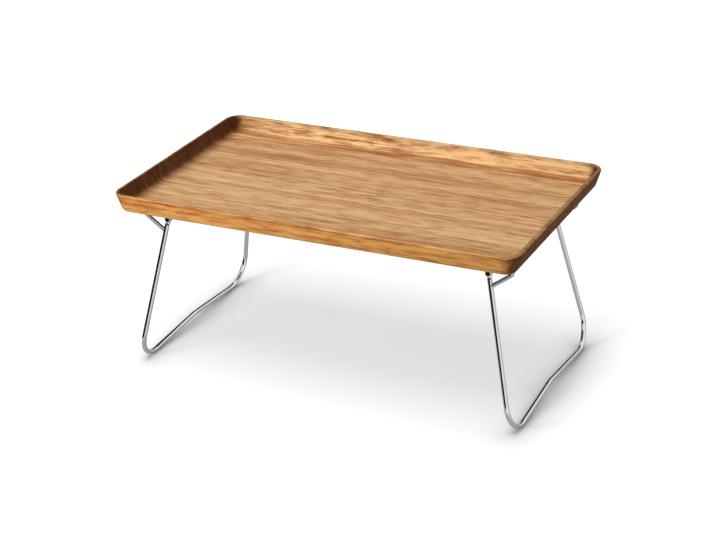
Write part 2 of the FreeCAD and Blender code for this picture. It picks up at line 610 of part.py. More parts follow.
def make_rivet(corner, sx, sy):
    """A shank along Y with a head on each side of the bracket."""
    body = new_body("Rivet_" + corner)
    body.Label = "pivot_rivet_" + corner
    bind(body, ".Placement.Base.x", "pivot_x", sign=sx)
    bind(body, ".Placement.Base.y", "pivot_y", sign=sy)
    bind(body, ".Placement.Base.z", "pivot_z")
    profile = new_sketch(body, "Profile", "XY_Plane")
    add_outline(profile, [(None, (-1, "rivet_end")),
                          ((1, "rivet_head_radius"), (-1, "rivet_end")),
                          ((1, "rivet_head_radius"), (-1, "ears_half_width")),
                          ((1, "pin_radius"), (-1, "ears_half_width")),
                          ((1, "pin_radius"), (1, "ears_half_width")),
                          ((1, "rivet_head_radius"), (1, "ears_half_width")),
                          ((1, "rivet_head_radius"), (1, "rivet_end")),
                          (None, (1, "rivet_end"))])
    turned = body.newObject("PartDesign::Revolution", "Turned")
    turned.Profile = profile
    turned.ReferenceAxis = (profile, ["V_Axis"])
    turned.Angle = FULL_TURN
    doc.recompute()
    rim = size("rivet_end")

    def is_head_edge(edge):
        box = edge.BoundBox
        level = abs(box.YMin - box.YMax) < TOLERANCE
        return level and abs(abs(box.YMin) - rim) < TOLERANCE

    add_fillet(body, "HeadRounding", turned, is_head_edge, "rivet_head_rounding")
    return body


# ---------------------------------------------------------------- stops

def add_stop_path(body):
    """Centre line of a stop rod: straight down from the plate, a bend, then the slope.

    The body's X points at the leg and its origin is on the underside above the rod's root.
    """
    slope = math.radians(size("stop_slope"))
    bend = size("stop_bend_radius")
    corner = FreeCAD.Vector(0, -size("stop_corner_drop"), 0)
    tip = FreeCAD.Vector(size("stop_run"), -size("stop_tip_drop"), 0)
    forward = FreeCAD.Vector(math.cos(slope), -math.sin(slope), 0)
    tangent = bend * math.tan((QUARTER_TURN - slope) / 2)
    upper = corner + FreeCAD.Vector(0, tangent, 0)
    lower = corner + forward * tangent
    centre = upper + FreeCAD.Vector(bend, 0, 0)
    path = new_sketch(body, "CentreLine", "XZ_Plane")
    root = path.addGeometry(Part.LineSegment(FreeCAD.Vector(), upper))
    turn = path.addGeometry(Part.ArcOfCircle(Part.Circle(centre, Z_AXIS, bend),
                                             math.pi, 3 * QUARTER_TURN - slope))
    rod = path.addGeometry(Part.LineSegment(lower, tip))
    path.addConstraint(Sketcher.Constraint("Coincident", root, START, *ORIGIN_POINT))
    path.addConstraint(Sketcher.Constraint("Vertical", root))
    path.addConstraint(Sketcher.Constraint("Tangent", root, END, turn, START))
    path.addConstraint(Sketcher.Constraint("Tangent", turn, END, rod, START))
    dimension(path, "bend", "Radius", (turn,), "stop_bend_radius")
    place_point(path, "tip", (rod, END), (1, "stop_run"), (-1, "stop_tip_drop"))
    angle = path.addConstraint(Sketcher.Constraint("Angle", rod, -slope))
    path.renameConstraint(angle, "slope")
    bind(path, "Constraints.slope", "stop_slope", sign=-1)
    return path


def make_stop(corner, sx, sy):
    """A plate screwed to the underside and the rod welded to it, hollowed where the leg bears."""
    body = new_body("StopBlank_" + corner)
    turn = 0.0 if sx < 0 else HALF_TURN
    body.Placement = FreeCAD.Placement(FreeCAD.Vector(), FreeCAD.Rotation(Z_AXIS, turn))
    bind(body, ".Placement.Base.x", "stop_screw_x", sign=sx)
    bind(body, ".Placement.Base.y", "seat_y", sign=sy)
    bind(body, ".Placement.Base.z", "underside_z")
    path = add_stop_path(body)
    section = new_sketch(body, "RodSection", "XY_Plane")
    add_circle(section, "rod", None, None, "stop_radius")
    rod = body.newObject("PartDesign::AdditivePipe", "Rod")
    rod.Profile = section
    rod.Spine = (path, [])
    doc.recompute()
    strip = new_sketch(body, "PlateStrip", "XY_Plane")
    add_outline(strip, [((-1, "stop_plate_radius"), (-1, "stop_pad_y")),
                        ((1, "stop_plate_radius"), (-1, "stop_pad_y")),
                        ((1, "stop_plate_radius"), (1, "stop_pad_y")),
                        ((-1, "stop_plate_radius"), (1, "stop_pad_y"))])
    add_pad(body, "Plate", strip, "stop_plate_thickness", reverse=True)
    for label, side in (("Front", -1), ("Back", 1)):
        disc = new_sketch(body, label + "Disc", "XY_Plane")
        add_circle(disc, "end", None, (side, "stop_pad_y"), "stop_plate_radius")
        add_pad(body, label + "End", disc, "stop_plate_thickness", reverse=True)
    holes = new_sketch(body, "ScrewHoles", "XY_Plane")
    for label, side in (("front", -1), ("back", 1)):
        add_circle(holes, label, None, (side, "stop_screw_y"), "plate_hole_radius")
    add_pocket(body, "ScrewBores", holes, "stop_plate_thickness")

    seat = doc.addObject("Part::Cylinder", "Seat_" + corner)
    bind(seat, "Radius", "stop_bore")
    bind(seat, "Height", "leg_reach")
    lean = FreeCAD.Rotation(Y_AXIS, -sx * size("leg_lean"))
    splay = FreeCAD.Rotation(X_AXIS, sy * size("upright_splay"))
    turned = lean.multiply(splay)
    start = turned.multVec(FreeCAD.Vector(0, 0, -size("leg_reach")))
    pivot = FreeCAD.Vector(sx * size("pivot_x"), sy * size("pivot_y"), size("pivot_z"))
    seat.Placement = FreeCAD.Placement(pivot + start, turned)
    stop = doc.addObject("Part::Cut", "Stop_" + corner)
    stop.Base = body
    stop.Tool = seat
    stop.Label = "stop_rod_" + corner
    doc.recompute()
    return stop


# ---------------------------------------------------------------- screws

def make_screw_pattern():
    """One domed wood screw with a cross recess. It points up and its head sits under Z = 0."""
    body = new_body("ScrewPattern")
    profile = new_sketch(body, "Profile", "XZ_Plane")
    add_outline(profile, [(None, (-1, "screw_head_height")),
                          ((1, "screw_head_radius"), (-1, "screw_head_height")),
                          ((1, "screw_head_radius"), None),
                          ((1, "screw_radius"), None),
                          ((1, "screw_radius"), (1, "screw_cone_start")),
                          ((1, "screw_tip_radius"), (1, "screw_length")),
                          (None, (1, "screw_length"))])
    turned = body.newObject("PartDesign::Revolution", "Turned")
    turned.Profile = profile
    turned.ReferenceAxis = (profile, ["V_Axis"])
    turned.Angle = FULL_TURN
    doc.recompute()
    add_fillet(body, "Dome", turned, level_at(-size("screw_head_height")), "screw_head_rounding")
    for label, across, along in (("First", "recess_half_length", "recess_half_width"),
                                 ("Second", "recess_half_width", "recess_half_length")):
        arm = new_sketch(body, label + "Arm", "XY_Plane")
        bind(arm, ".AttachmentOffset.Base.z", "screw_head_height", sign=-1)
        add_outline(arm, [((-1, across), (-1, along)), ((1, across), (-1, along)),
                          ((1, across), (1, along)), ((-1, across), (1, along))])
        add_pocket(body, label + "Recess", arm, "screw_recess_depth", reverse=True)
    return body


def make_screws(name, pattern, places, height):
    """Copies of the screw at (sign, size) places; they are one group of separate pieces."""
    copies = []
    for number, (sx, x, sy, y) in enumerate(places, start=1):
        copy = doc.addObject("App::Link", "%s_%d" % (name, number))
        copy.LinkedObject = pattern
        bind(copy, ".Placement.Base.x", x, sign=sx)
        bind(copy, ".Placement.Base.y", y, sign=sy)
        bind(copy, ".Placement.Base.z", height)
        copies.append(copy)
    group = doc.addObject("Part::Compound", name.title().replace("_", ""))
    group.Links = copies
    group.Label = name
    return group


# ---------------------------------------------------------------- the whole tray

def make_parts():
    blank = make_tray_blank()
    parts = make_staves(blank)
    parts += [make_leg(leg, side) for leg, side in LEGS]
    for maker in (make_bracket, make_rivet, make_stop):
        parts += [maker(corner, sx, sy) for corner, sx, sy in CORNERS]
    pattern = make_screw_pattern()
    bracket_places = [(sx, x, sy, "pivot_y") for corner, sx, sy in CORNERS
                      for x in ("inner_bracket_screw_x", "outer_bracket_screw_x")]
    stop_places = [(sx, "stop_screw_x", sy, y) for corner, sx, sy in CORNERS
                   for y in ("inner_stop_screw_y", "outer_stop_screw_y")]
    parts.append(make_screws("bracket_screws", pattern, bracket_places, "bracket_screw_z"))
    parts.append(make_screws("stop_screws", pattern, stop_places, "stop_screw_z"))
    doc.recompute()
    return parts


def check(parts):
    """Stop before anything is written if an object failed or a part isn't sound."""
    for item in doc.Objects:
        if "Invalid" in item.State or "Error" in item.State:
            raise RuntimeError("%s failed: %s" % (item.Label, item.State))
    for part in parts:
        if part.Shape.isNull() or not part.Shape.isValid():
            raise RuntimeError("%s has no sound shape" % part.Label)


def export(parts):
    os.makedirs("parts", exist_ok=True)
    for part in parts:
        part.Shape.exportStep("parts/%s.step" % part.Label)
        print("%-30s %2d solid(s) %12.2f mm3" % (part.Label, len(part.Shape.Solids), part.Shape.Volume))


all_parts = make_parts()
check(all_parts)
export(all_parts)
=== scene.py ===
"""Looks of a folding bed tray: a glued-up oak tray on two bent, chromed wire legs.

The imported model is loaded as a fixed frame, in metres. X runs along the tray, -Y is its front, +Z
is up, and the feet stand on Z = 0. Each sub-assembly is a class that dresses its own pieces.
"""

from __future__ import annotations

import logging
import math
from dataclasses import dataclass, field
from enum import Enum
from typing import ClassVar

import bpy
from mathutils import Matrix, Vector

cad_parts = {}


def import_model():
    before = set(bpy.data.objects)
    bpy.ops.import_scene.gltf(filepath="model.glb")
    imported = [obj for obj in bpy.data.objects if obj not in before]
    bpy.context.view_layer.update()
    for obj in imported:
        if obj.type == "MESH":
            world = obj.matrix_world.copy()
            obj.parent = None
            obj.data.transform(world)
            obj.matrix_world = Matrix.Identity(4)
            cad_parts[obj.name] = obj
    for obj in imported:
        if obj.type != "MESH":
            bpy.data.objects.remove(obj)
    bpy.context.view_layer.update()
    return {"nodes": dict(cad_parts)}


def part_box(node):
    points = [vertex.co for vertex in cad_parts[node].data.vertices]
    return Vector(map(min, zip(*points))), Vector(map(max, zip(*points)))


LOG = logging.getLogger("bed_tray")

MM = 0.001
FRAME_WIDTH_PX = 716

Vec3 = tuple[float, float, float]
Colour = tuple[float, float, float]
Span = tuple[float, float]


def linear(red: int, green: int, blue: int) -> Colour:
    """Turn an sRGB colour of 0 to 255 into linear light.

    With c = channel / 255, a channel becomes c / 12.92 up to c = 0.04045, and past it
    ((c + 0.055) / 1.055) ^ 2.4.

    Args:
        red: red channel.
        green: green channel.
        blue: blue channel.

    Returns:
        The three channels as linear values from 0 to 1.
    """
    scaled = [channel / 255.0 for channel in (red, green, blue)]
    return tuple(c / 12.92 if c <= 0.04045 else ((c + 0.055) / 1.055) ** 2.4 for c in scaled)


# ---------------------------------------------------------------- node graphs


class Graph:
    """A thin hand for building one node tree."""

    def __init__(self, tree: bpy.types.NodeTree) -> None:
        """Start on an empty tree.

        Args:
            tree: the tree to build in. Its nodes are cleared.
        """
        self.tree = tree
        tree.nodes.clear()

    def add(self, kind: str, **settings: object) -> bpy.types.Node:
        """Add a node.

        Args:
            kind: the node's bl_idname.
            **settings: properties to set on it.

        Returns:
            The new node.
        """
        node = self.tree.nodes.new(kind)
        for name, value in settings.items():
            setattr(node, name, value)
        return node

    def feed(self, socket: bpy.types.NodeSocket, value: object) -> None:
        """Link a socket to another one, or set its constant.

        Args:
            socket: the input.
            value: an output socket, a number or a tuple.
        """
        if isinstance(value, bpy.types.NodeSocket):
            self.tree.links.new(value, socket)
        else:
            socket.default_value = value

    def calc(self, kind: str, *values: object, clamp: bool = False) -> bpy.types.NodeSocket:
        """A Math node.

        Args:
            kind: the operation.
            *values: its inputs, as sockets or numbers.
            clamp: whether the result stays within 0 to 1.

        Returns:
            The result's socket.
        """
        node = self.add("ShaderNodeMath", operation=kind, use_clamp=clamp)
        for socket, value in zip(node.inputs, values):
            self.feed(socket, value)
        return node.outputs[0]

    def vector(self, kind: str, *values: object) -> bpy.types.NodeSocket:
        """A Vector Math node whose result is a vector.

        Args:
            kind: the operation.
            *values: its inputs, as sockets or tuples.

        Returns:
            The result's socket.
        """
        node = self.add("ShaderNodeVectorMath", operation=kind)
        for socket, value in zip(node.inputs, values):
            self.feed(socket, value)
        return node.outputs[0]

    def length(self, vector: object) -> bpy.types.NodeSocket:
        """A vector's length.

        Args:
            vector: its socket.

        Returns:
            The length's socket.
        """
        node = self.add("ShaderNodeVectorMath", operation="LENGTH")
        self.feed(node.inputs[0], vector)
        return node.outputs["Value"]

    def split(self, vector: object) -> bpy.types.bpy_prop_collection:
        """A vector's parts.

        Args:
            vector: its socket.

        Returns:
            The outputs X, Y and Z.
        """
        node = self.add("ShaderNodeSeparateXYZ")
        self.feed(node.inputs[0], vector)
        return node.outputs

    def spread(self, value: object, low: object, high: object, start: float = 0.0,
               end: float = 1.0, smooth: bool = False) -> bpy.types.NodeSocket:
        """Map a range onto another, held at both ends.

        Args:
            value: the value's socket.
            low: where the input range starts.
            high: where it ends.
            start: the result at low.
            end: the result at high.
            smooth: whether the ramp eases in and out.

        Returns:
            The mapped value.
        """
        node = self.add("ShaderNodeMapRange", clamp=True)
        node.interpolation_type = "SMOOTHSTEP" if smooth else "LINEAR"
        for name, content in (("Value", value), ("From Min", low), ("From Max", high),
                              ("To Min", start), ("To Max", end)):
            self.feed(node.inputs[name], content)
        return node.outputs["Result"]

    def between(self, share: object, start: float, end: float) -> bpy.types.NodeSocket:
        """A value that goes from start to end as a share goes from 0 to 1."""
        return self.spread(share, 0.0, 1.0, start, end)

    def mix(self, share: object, first: object, second: object,
            kind: str = "MIX") -> bpy.types.NodeSocket:
        """Mix two colours.

        Args:
            share: how much of the second, from 0 to 1.
            first: a colour or its socket.
            second: a colour or its socket.
            kind: the blend.

        Returns:
            The mixed colour.
        """
        node = self.add("ShaderNodeMix", data_type="RGBA", blend_type=kind, clamp_factor=True)
        self.feed(node.inputs[0], share)
        for socket, colour in ((node.inputs[6], first), (node.inputs[7], second)):
            self.feed(socket, (*colour, 1.0) if isinstance(colour, tuple) else colour)
        return node.outputs[2]


def new_group(name: str, inputs: dict[str, tuple[str, object]],
              outputs: dict[str, str]) -> tuple[bpy.types.NodeTree, Graph, dict, bpy.types.Node]:
    """Make an empty shader node group with named sockets.

    Args:
        name: the group's name.
        inputs: each input's name, with its socket type and default.
        outputs: each output's name, with its socket type.

    Returns:
        The group, its graph, its input sockets by name, and its output node.
    """
    tree = bpy.data.node_groups.new(name, "ShaderNodeTree")
    graph = Graph(tree)
    for label, (kind, default) in inputs.items():
        socket = tree.interface.new_socket(label, in_out="INPUT", socket_type="NodeSocket" + kind)
        if default is not None:
            socket.default_value = default
    for label, kind in outputs.items():
        tree.interface.new_socket(label, in_out="OUTPUT", socket_type="NodeSocket" + kind)
    entry = graph.add("NodeGroupInput")
    exit_node = graph.add("NodeGroupOutput")
    return tree, graph, {socket.name: socket for socket in entry.outputs}, exit_node


# ---------------------------------------------------------------- shared effects


@dataclass(frozen=True)
class Grain:
    """One noise pattern, drawn out along X where along is less than across.

    Attributes:
        along: cycles a metre along X.
        across: cycles a metre along Y and Z.
        detail: octaves past the first.
        roughness: how strong the finer octaves are.
        ends: the noise values at which the pattern is 0 and 1. None keeps the noise as it is.
        weight: how much the pattern counts.
    """

    along: float
    across: float
    detail: float
    roughness: float = 0.5
    ends: Span | None = None
    weight: float = 1.0

    def noise(self, graph: Graph, point: object) -> bpy.types.Node:
        """Draw the plain noise, of about 0 to 1.

        Args:
            graph: the graph to draw it in.
            point: the point's socket.

        Returns:
            The noise node.
        """
        node = graph.add("ShaderNodeTexNoise", noise_dimensions="3D")
        scale = (self.along, self.across, self.across)
        graph.feed(node.inputs["Vector"], graph.vector("MULTIPLY", point, scale))
        for name, value in (("Scale", 1.0), ("Detail", self.detail), ("Roughness", self.roughness)):
            graph.feed(node.inputs[name], value)
        return node

    def pattern(self, graph: Graph, point: object) -> bpy.types.NodeSocket:
        """Draw the noise between its ends, without its weight.

        Args:
            graph: the graph to draw it in.
            point: the point's socket.

        Returns:
            The pattern's socket.
        """
        noise = self.noise(graph, point).outputs["Fac"]
        return noise if self.ends is None else graph.spread(noise, *self.ends)


BANDS = Grain(2.2, 62.0, 2.0, ends=(0.32, 0.68), weight=0.30)
STREAKS = Grain(8.0, 190.0, 3.0, 0.6, ends=(0.33, 0.67), weight=0.52)
TICKS = Grain(30.0, 165.0, 2.5, 0.65, ends=(0.36, 0.66), weight=0.58)
DASHES = Grain(34.0, 420.0, 1.5, ends=(0.35, 0.68), weight=0.35)
FIBRES = Grain(24.0, 1100.0, 2.0, 0.7, weight=0.6)
PORES = Grain(70.0, 2300.0, 1.0, ends=(0.60, 0.72), weight=0.20)
FLECKS = Grain(55.0, 420.0, 1.0, ends=(0.66, 0.76), weight=-0.12)
PINK_CLOUDS = Grain(4.0, 45.0, 2.0, ends=(0.40, 0.66))
RING_DRIFT = Grain(3.4, 11.0, 2.5, weight=26.0 * MM)
RING_UNEVENNESS = Grain(3.0, 60.0, 1.0, weight=1.6)
HEART_WANDER = Grain(4.0, 24.0, 4.0, 0.62, weight=15.0 * MM)
FINGERMARKS = Grain(55.0, 55.0, 3.0, 0.6, ends=(0.42, 0.75))
WAVINESS = Grain(900.0, 900.0, 2.0, 0.6, weight=0.4)

BOARD_MIDDLE = 256.0 * MM
SEED_STEP = (0.37, 0.73, 0.19)


class OakGroup:
    """Solid oak as a shader node group: growth rings round a pith line along X, and fibres.

    A point's distance from the pith, r = sqrt(y'^2 + z'^2), counts the growth rings, where y' and
    z' are measured from the pith and pushed about by slow noise. Each ring darkens towards its
    late wood and ends in a sharp line. Bands, streaks, ticks, dashes, fibres, pores and flecks are
    noise that is drawn out along X, and along Z too by the value of Upright, where a board's rings
    stand on edge. A heart streak is a stripe of redder wood, h = 1 - |y + noise - line| / width,
    and a pale edge is a stripe of sapwood beside the front seam. Where the surface cuts across the
    fibres, |normal X| near 1, it is end grain: darker and redder. Its near-black colour on the
    inward faces of the end walls, and its early start in the coves, are painted shade. A darker
    band near both ends, strongest at the left and stopping just short of the left outer edge, is
    painted shade too. The outside of the walls, where normal and place point the same way, takes a
    brighter orange, partly the oiled wood's tone and partly painted light. The top of the rim is a
    little darker and greyer: painted shade over the light it catches.
    """

    NAME = "SolidOak"
    PINK = (0.97, 0.90, 0.86)
    # End grain's colour, darker than end grain alone: on the inward faces of the end walls and in
    # the coves it is painted shade as well.
    END_GRAIN_AND_SHADE_BROWN = linear(76, 34, 6)
    # Outside faces: a brighter orange, partly the oiled wood's own tone and partly painted light
    # that lifts the front face.
    OILED_AND_LIT_LIGHT = linear(251, 189, 108)
    OILED_AND_LIT_DARK = linear(180, 98, 42)
    # Painted shade on the rim's top: it darkens and greys the light the rim catches.
    RIM_TOP_SHADE_TINT = (0.80, 0.82, 0.86)

    # The figure: shares of dark wood, where a ring's and a heart streak's edge starts, and how far
    # from a stave's edge its pale wood and its seam line fade out.
    BASE_DARK = 0.30
    RING_DARK = 0.30
    RING_END = 0.93
    HEART_FRAY = 0.45
    PALE_EDGE = (3.0 * MM, 13.0 * MM)
    PALE_LIFT = 0.5
    SEAM = (0.05 * MM, 0.35 * MM)
    SEAM_DARK = 0.25
    END_DARK = 0.45

    # The painted shade near the end walls, by distance from the tray's middle, how much of it
    # shows, and how much of it the outside faces take.
    LEFT_SHADE_SPAN = (266.0 * MM, 290.0 * MM)
    LEFT_SHADE_FADE = (294.5 * MM, 297.0 * MM)
    LEFT_SHADE_SHARE = 0.9
    RIGHT_SHADE_SPAN = (275.0 * MM, 281.0 * MM)
    RIGHT_SHADE_SHARE = 0.42
    OUTSIDE_SHADE_SHARE = 0.3
    OUTSIDE_CUT = 0.25

    # Which way a surface faces, by its normal or by normal times place, and the rim's height.
    # On inward faces the end grain's colour starts at a small tilt of the normal: painted shade in
    # the coves.
    HOLLOW_SHADE_TURN = (0.04, 0.75)
    OUTER_TURN = (0.35, 0.98)
    OUTER_SIGN = 0.02
    OUTSIDE = (0.05, 0.14)
    END_REACH = 0.55
    RIM_TOP = (264.0 * MM, 267.0 * MM)

    # How streaks and fibres change other things: their own range, then the result's.
    STREAKED_HEART = (0.1, 0.8, 0.3, 1.0)
    STREAKED_ENDS = (0.1, 0.9, 0.86, 0.98)
    FIBRE_ROUGHNESS = (0.3, 0.7, 0.42, 0.52)
    PORE_ROUGHNESS = 0.18
    END_ROUGHNESS = 0.1
    PORE_DEPTH = 0.7
    FIBRE_HEIGHT = 0.5
    SEAM_DEPTH = 1.0

    def __init__(self) -> None:
        """Build the group once."""
        self.tree, graph, self.given, self.exit = new_group(
            self.NAME,
            {"Point": ("Vector", None), "Facing": ("Vector", None), "Pith": ("Vector", None),
             "Seed": ("Vector", None), "Upright": ("Float", 0.3),
             "Ring Width": ("Float", 2.4 * MM), "Figure": ("Float", 1.0),
             "Light Wood": ("Color", (0.6, 0.35, 0.16, 1.0)),
             "Dark Wood": ("Color", (0.33, 0.15, 0.05, 1.0)),
             "Heart Wood": ("Color", (0.28, 0.1, 0.03, 1.0)), "Heart Line": ("Float", 0.0),
             "Heart Width": ("Float", 8.0 * MM), "Heart Share": ("Float", 0.0),
             "Front Seam": ("Float", 0.0), "Back Seam": ("Float", 0.0),
             "Pale Edge": ("Float", 0.0)},
            {"Colour": "Color", "Roughness": "Float", "Height": "Float"})
        place = graph.split(self.given["Point"])
        self.along, self.across, self.height = place["X"], place["Y"], place["Z"]
        squeeze = graph.add("ShaderNodeCombineXYZ")
        for socket, value in zip(squeeze.inputs, (1.0, 1.0, self.given["Upright"])):
            graph.feed(socket, value)
        moved = graph.vector("ADD", self.given["Point"], self.given["Seed"])
        self.moved = graph.vector("MULTIPLY", moved, squeeze.outputs[0])
        self.finish(graph)

    def pattern(self, graph: Graph, grain: Grain) -> bpy.types.NodeSocket:
        """A grain's pattern at the stave's own place in the noise."""
        return grain.pattern(graph, self.moved)

    def rings(self, graph: Graph) -> bpy.types.NodeSocket:
        """Growth rings: 0 in early wood, rising to 1 at the sharp line that ends a ring.

        Args:
            graph: the group's graph.

        Returns:
            The ring pattern.
        """
        drift = RING_DRIFT.noise(graph, self.moved)
        centred = graph.vector("SUBTRACT", drift.outputs["Color"], (0.5, 0.5, 0.5))
        push = graph.vector("MULTIPLY", centred, (0.0, RING_DRIFT.weight, RING_DRIFT.weight))
        from_pith = graph.vector("SUBTRACT", self.given["Point"], self.given["Pith"])
        local = graph.vector("ADD", from_pith, push)
        radius = graph.length(graph.vector("MULTIPLY", local, (0.0, 1.0, 1.0)))
        count = graph.calc("DIVIDE", radius, self.given["Ring Width"])
        uneven = self.pattern(graph, RING_UNEVENNESS)
        count = graph.calc("MULTIPLY_ADD", uneven, RING_UNEVENNESS.weight, count)
        part = graph.calc("FRACT", count)
        rise = graph.calc("POWER", part, 2.0)
        return graph.calc("MULTIPLY", rise, graph.spread(part, self.RING_END, 1.0, 1.0, 0.0))

    def heart(self, graph: Graph) -> bpy.types.NodeSocket:
        """The heart streak: 1 on its line, 0 past its width, with a wandering, frayed edge.

        Args:
            graph: the group's graph.

        Returns:
            The streak's share.
        """
        wander = graph.calc("SUBTRACT", self.pattern(graph, HEART_WANDER), 0.5)
        shifted = graph.calc("MULTIPLY_ADD", wander, HEART_WANDER.weight, self.across)
        away = graph.calc("ABSOLUTE", graph.calc("SUBTRACT", shifted, self.given["Heart Line"]))
        share = graph.calc("SUBTRACT", 1.0, graph.calc("DIVIDE", away, self.given["Heart Width"]))
        return graph.calc("MULTIPLY", graph.spread(share, 0.0, self.HEART_FRAY, smooth=True),
                          self.given["Heart Share"])

    def painted_end_shade(self, graph: Graph) -> bpy.types.NodeSocket:
        """Painted shade near the end walls, strongest at the left.

        At the left end the share rises with the distance from the tray's middle and falls again
        just before the outermost edge, where the painted shade stops. At the right end it is
        weaker, rises closer to the wall and reaches the edge.

        Args:
            graph: the group's graph.

        Returns:
            The painted shade's share.
        """
        left = graph.calc("MULTIPLY", self.along, -1.0)
        left_shade_fade = graph.spread(left, *self.LEFT_SHADE_FADE, self.LEFT_SHADE_SHARE, 0.0, smooth=True)
        left_shade = graph.calc("MULTIPLY", graph.spread(left, *self.LEFT_SHADE_SPAN, smooth=True), left_shade_fade)
        right_shade = graph.spread(self.along, *self.RIGHT_SHADE_SPAN, 0.0, self.RIGHT_SHADE_SHARE, smooth=True)
        return graph.calc("MAXIMUM", left_shade, right_shade)

    def figure(self, graph: Graph, streaks: bpy.types.NodeSocket, fibres: bpy.types.NodeSocket,
               pores: bpy.types.NodeSocket) -> bpy.types.NodeSocket:
        """How dark the rings and the grain make a point.

        The rings count from 0 up. Bands, streaks, ticks, dashes and fibres darken and lighten
        about their middle, pores darken and flecks lighten. Figure scales it all.

        Args:
            graph: the group's graph.
            streaks: the streaks' pattern.
            fibres: the fibres' pattern.
            pores: the pores' pattern.

        Returns:
            The share of dark wood, before seams and ends.
        """
        dark = graph.calc("MULTIPLY", self.rings(graph), self.RING_DARK)
        centred = ((self.pattern(graph, BANDS), BANDS), (streaks, STREAKS),
                   (self.pattern(graph, TICKS), TICKS), (self.pattern(graph, DASHES), DASHES),
                   (fibres, FIBRES))
        for drawn, grain in centred:
            offset = graph.calc("SUBTRACT", drawn, 0.5)
            dark = graph.calc("MULTIPLY_ADD", offset, grain.weight, dark)
        dark = graph.calc("MULTIPLY_ADD", pores, PORES.weight, dark)
        dark = graph.calc("MULTIPLY_ADD", self.pattern(graph, FLECKS), FLECKS.weight, dark)
        return graph.calc("MULTIPLY_ADD", dark, self.given["Figure"], self.BASE_DARK)

    def edges(self, graph: Graph) -> tuple[bpy.types.NodeSocket, bpy.types.NodeSocket]:
        """Where a stave meets its neighbours.

        Args:
            graph: the group's graph.

        Returns:
            The dark seam line, and the pale sapwood beside the front seam.
        """
        from_front = graph.calc("SUBTRACT", self.across, self.given["Front Seam"])
        from_back = graph.calc("SUBTRACT", self.given["Back Seam"], self.across)
        seam = graph.spread(graph.calc("MINIMUM", from_front, from_back), *self.SEAM, 1.0, 0.0)
        sapwood = graph.spread(from_front, *self.PALE_EDGE, 1.0, 0.0, smooth=True)
        return seam, graph.calc("MULTIPLY", sapwood, self.given["Pale Edge"])

    def sides(self, graph: Graph) -> tuple[bpy.types.NodeSocket, ...]:
        """Which way a surface faces.

        Args:
            graph: the group's graph.

        Returns:
            Three shares: it faces out along X instead of in, it is outside the walls, and it cuts
            across the fibres. On inward faces the last share starts at a small tilt, painted shade
            in the coves.
        """
        facing = graph.split(self.given["Facing"])
        end_out = graph.calc("MULTIPLY", facing["X"], self.along)
        side_out = graph.calc("MULTIPLY", facing["Y"], self.across)
        outer = graph.spread(end_out, -self.OUTER_SIGN, self.OUTER_SIGN)
        outward = graph.calc("MULTIPLY_ADD", end_out, self.END_REACH, side_out)
        outside = graph.spread(outward, *self.OUTSIDE)
        turn_start, turn_end = (graph.between(outer, hollow, convex)
                                for hollow, convex in zip(self.HOLLOW_SHADE_TURN, self.OUTER_TURN))
        end_grain_and_cove_shade = graph.spread(graph.calc("ABSOLUTE", facing["X"]), turn_start, turn_end,
                                 smooth=True)
        return outer, outside, end_grain_and_cove_shade

    def colour(self, graph: Graph, dark: bpy.types.NodeSocket, streaks: bpy.types.NodeSocket,
               sides: tuple[bpy.types.NodeSocket, ...]) -> bpy.types.NodeSocket:
        """The wood's colour, with painted shade at the ends and on the rim's top, and partly
        painted light on the outside faces.

        Args:
            graph: the group's graph.
            dark: the share of dark wood.
            streaks: the streaks' pattern.
            sides: which way the surface faces, as sides gives it.

        Returns:
            The colour's socket.
        """
        outer, outside, end_grain_and_cove_shade = sides
        # Outside faces take a brighter orange: partly the oiled wood's tone, partly painted light
        # that lifts the front face.
        light_wood = graph.mix(outside, self.given["Light Wood"], self.OILED_AND_LIT_LIGHT)
        dark_wood = graph.mix(outside, self.given["Dark Wood"], self.OILED_AND_LIT_DARK)
        colour = graph.mix(dark, light_wood, dark_wood)
        colour = graph.mix(self.pattern(graph, PINK_CLOUDS), colour, self.PINK, "MULTIPLY")
        streaked = graph.spread(streaks, *self.STREAKED_HEART)
        colour = graph.mix(graph.calc("MULTIPLY", self.heart(graph), streaked), colour,
                           self.given["Heart Wood"])
        # End grain, full on inward faces and in coves, where its near-black colour is painted shade
        # as well; outward faces take a quarter of it.
        end_cut_and_shade = graph.calc("MULTIPLY", end_grain_and_cove_shade, graph.between(outer, 1.0, self.OUTSIDE_CUT))
        # Painted shade near the end walls, weaker on the outside faces.
        painted_end_shade = graph.calc("MULTIPLY", self.painted_end_shade(graph),
                            graph.between(outside, 1.0, self.OUTSIDE_SHADE_SHARE))
        # End grain and painted shade, broken up by the streaks.
        end_grain_and_shade = graph.calc("MULTIPLY", graph.calc("MAXIMUM", end_cut_and_shade, painted_end_shade),
                               graph.spread(streaks, *self.STREAKED_ENDS))
        colour = graph.mix(end_grain_and_shade, colour, self.END_GRAIN_AND_SHADE_BROWN)
        # Painted shade on the rim's top, darker and greyer than the wood below.
        rim_top_shade = graph.spread(self.height, *self.RIM_TOP, smooth=True)
        return graph.mix(rim_top_shade, colour, self.RIM_TOP_SHADE_TINT, "MULTIPLY")

